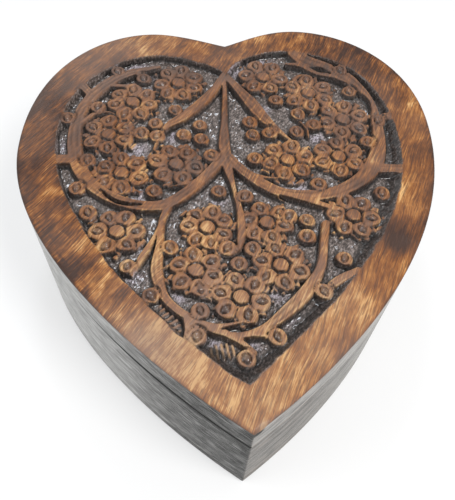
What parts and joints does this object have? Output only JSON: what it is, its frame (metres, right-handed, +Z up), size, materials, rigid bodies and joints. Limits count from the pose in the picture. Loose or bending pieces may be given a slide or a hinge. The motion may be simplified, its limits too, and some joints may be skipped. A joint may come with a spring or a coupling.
{
  "type": "carved wooden trinket box",
  "caption": "Heart-shaped wooden trinket box with a lift-off lid, its top carved in low relief with flowers, berries and vines.",
  "frame": {"origin": "on the table under the box, midway along its width and its length", "axes": "+Z up, +Y from the heart's point towards its cleft, +X to the right as the carving is read with the point towards the viewer"},
  "size_m": [0.13, 0.1446, 0.0508],
  "materials": {
    "lid_wood": "satin varnish over a brown stain, the carved ground darker",
    "wall_wood": "thin dark stain, almost matte, fine grain along the wall",
    "board_wood": "thin dark stain, almost matte"
  },
  "bodies": {
    "root": {"carved_lid": "lid_wood", "box_wall": "wall_wood", "base_board": "board_wood"}
  },
  "joints": []
}
